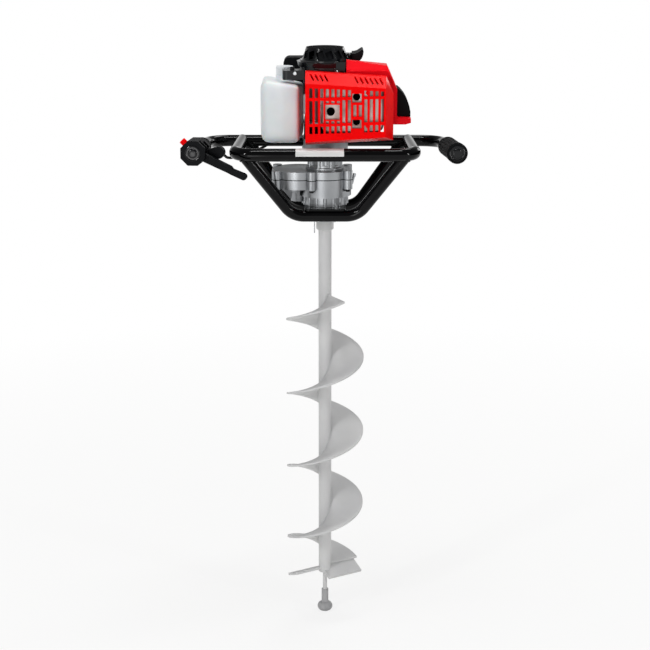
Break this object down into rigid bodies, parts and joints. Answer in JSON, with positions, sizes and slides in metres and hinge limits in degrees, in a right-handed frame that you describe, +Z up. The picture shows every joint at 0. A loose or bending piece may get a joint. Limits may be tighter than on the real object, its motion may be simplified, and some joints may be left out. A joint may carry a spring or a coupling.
{
  "type": "petrol earth auger",
  "caption": "One-person petrol earth auger: tube frame with hand grips, two-stroke engine with recoil starter and fuel tank, spur gearbox, and a helical bit with blades and a capped point.",
  "frame": {"origin": "on the bit's axis, at the flat underside of its tip cap", "axes": "+Z up along the bit, +X towards the cylinder side, -Y towards the muffler guard and the hand grips' ends"},
  "size_m": [0.5203, 0.2472, 1.131],
  "materials": {
    "black_powder_coat": "gloss powder coat",
    "black_rubber": "matt moulded rubber",
    "black_plastic": "fine grained nylon",
    "grey_plastic": "satin nylon",
    "red_plastic": "gloss moulded",
    "tank_plastic": "translucent polyethylene",
    "cap_plastic": "satin polyethylene",
    "cast_aluminium": "as cast, bead blasted",
    "machined_steel": "ground",
    "gear_steel": "hobbed and oiled",
    "muffler_steel": "pressed sheet",
    "black_steel": "black oxide",
    "bit_paint": "satin pale grey paint",
    "tip_plastic": "moulded polyethylene",
    "bakelite": "pressed resin",
    "filter_foam": "open cell foam",
    "plug_ceramic": "glazed ceramic and plated steel",
    "spring_steel": "blued strip"
  },
  "bodies": {
    "frame": {"front_top_bar": "black_powder_coat", "front_v_bar": "black_powder_coat", "rear_handlebar": "black_powder_coat", "rear_v_bar": "black_powder_coat", "gearbox_plate": "black_powder_coat", "right_grip": "black_rubber", "left_grip": "black_rubber", "throttle_housing": "black_plastic", "throttle_cable": "black_rubber", "gear_case_lower": "cast_aluminium", "gear_case_upper": "cast_aluminium", "socket_screws": "black_steel", "ball_bearings": "machined_steel", "breather": "machined_steel", "clutch_housing": "cast_aluminium", "fan_housing": "black_plastic", "crankcase": "cast_aluminium", "engine_cylinder": "cast_aluminium", "piston": "cast_aluminium", "connecting_rod": "machined_steel", "rod_pins": "machined_steel", "spark_plug": "plug_ceramic", "plug_cap": "black_rubber", "ignition_coil": "black_plastic", "intake_insulator": "bakelite", "carburettor": "cast_aluminium", "air_filter_base": "black_plastic", "air_filter_cover": "black_plastic", "filter_element": "filter_foam", "muffler": "muffler_steel", "muffler_guard": "red_plastic", "cylinder_cover": "red_plastic", "fuel_tank": "tank_plastic", "starter_housing": "black_plastic", "rewind_spring": "spring_steel"},
    "auger": {"output_gear": "gear_steel", "output_shaft": "machined_steel", "bit_tube": "bit_paint", "bit_collar": "bit_paint", "flight": "bit_paint", "cutting_blades": "bit_paint", "pilot_point": "bit_paint", "drive_pin": "machined_steel", "pin_clip": "machined_steel"},
    "tip_cap": {"tip_cap": "tip_plastic"},
    "countershaft": {"counter_gear": "gear_steel", "counter_shaft": "gear_steel"},
    "clutch_drum": {"clutch_drum": "machined_steel", "pinion_shaft": "gear_steel"},
    "crank": {"crankshaft": "machined_steel", "flywheel": "cast_aluminium"},
    "clutch_shoe_a": {"clutch_shoe_a": "machined_steel"},
    "clutch_shoe_b": {"clutch_shoe_b": "machined_steel"},
    "throttle_lever": {"throttle_lever": "grey_plastic"},
    "lock_paddle": {"lock_paddle": "black_plastic"},
    "stop_button": {"stop_button": "red_plastic"},
    "choke_lever": {"choke_lever": "grey_plastic"},
    "starter_grip": {"starter_grip": "black_plastic"},
    "starter_pulley": {"starter_pulley": "grey_plastic"},
    "fuel_cap": {"fuel_cap": "cap_plastic"}
  },
  "joints": [
    {"name": "bit_spin", "type": "hinge", "parent": "frame", "child": "auger", "pos_m": [0, 0, 0.9], "axis": [0, 0, 1], "continuous": true},
    {"name": "countershaft_spin", "type": "hinge", "parent": "frame", "child": "countershaft", "pos_m": [-0.05, 0, 0.88], "axis": [0, 0, 1], "continuous": true},
    {"name": "drum_spin", "type": "hinge", "parent": "frame", "child": "clutch_drum", "pos_m": [0, 0, 0.93], "axis": [0, 0, 1], "continuous": true},
    {"name": "crank_spin", "type": "hinge", "parent": "frame", "child": "crank", "pos_m": [0, 0, 1], "axis": [0, 0, 1], "continuous": true},
    {"name": "shoe_a_swing", "type": "hinge", "parent": "crank", "child": "clutch_shoe_a", "pos_m": [0.02537, 0.00924, 0.95], "axis": [0, 0, -1], "range_deg": [0, 1.5], "stiffness_Nm_per_rad": 5, "springref_deg": -2.86},
    {"name": "shoe_b_swing", "type": "hinge", "parent": "crank", "child": "clutch_shoe_b", "pos_m": [-0.02537, -0.00924, 0.95], "axis": [0, 0, -1], "range_deg": [0, 1.5]},
    {"name": "tip_cap_pull", "type": "slide", "parent": "auger", "child": "tip_cap", "axis": [0, 0, -1], "range_m": [0, 0.05]},
    {"name": "throttle_squeeze", "type": "hinge", "parent": "frame", "child": "throttle_lever", "pos_m": [-0.21703, -0.10913, 0.94352], "axis": [-0.0834, -0.9955, 0.0441], "range_deg": [0, 18], "stiffness_Nm_per_rad": 0.5, "springref_deg": -17.19},
    {"name": "paddle_press", "type": "hinge", "parent": "frame", "child": "lock_paddle", "pos_m": [-0.21317, -0.08608, 0.9495], "axis": [0.0834, 0.9955, -0.0441], "range_deg": [0, 12], "stiffness_Nm_per_rad": 0.3, "springref_deg": -17.19},
    {"name": "stop_press", "type": "slide", "parent": "frame", "child": "stop_button", "axis": [0.702, -0.0901, -0.7064], "range_m": [0, 0.003], "stiffness_N_per_m": 600, "springref_m": -0.002},
    {"name": "choke_turn", "type": "hinge", "parent": "frame", "child": "choke_lever", "pos_m": [0.0705, 0.072, 1.03], "axis": [1, 0, 0], "range_deg": [0, 60]},
    {"name": "starter_pull", "type": "slide", "parent": "frame", "child": "starter_grip", "axis": [1, 0, 0], "range_m": [0, 0.6], "stiffness_N_per_m": 20, "springref_m": -0.25},
    {"name": "pulley_turn", "type": "hinge", "parent": "frame", "child": "starter_pulley", "pos_m": [0, 0, 1.112], "axis": [0, 0, -1], "range_deg": [0, 1300]},
    {"name": "fuel_cap_lift", "type": "slide", "parent": "frame", "child": "fuel_cap", "axis": [0, 0, 1], "range_m": [0, 0.04]}
  ],
  "couplings": [
    {"joint": "countershaft_spin", "follows": "bit_spin", "ratio": -4.7143},
    {"joint": "drum_spin", "follows": "bit_spin", "ratio": 26.714},
    {"joint": "shoe_b_swing", "follows": "shoe_a_swing", "ratio": 1},
    {"joint": "pulley_turn", "follows": "starter_pull", "rad_per_m": 37.037}
  ]
}
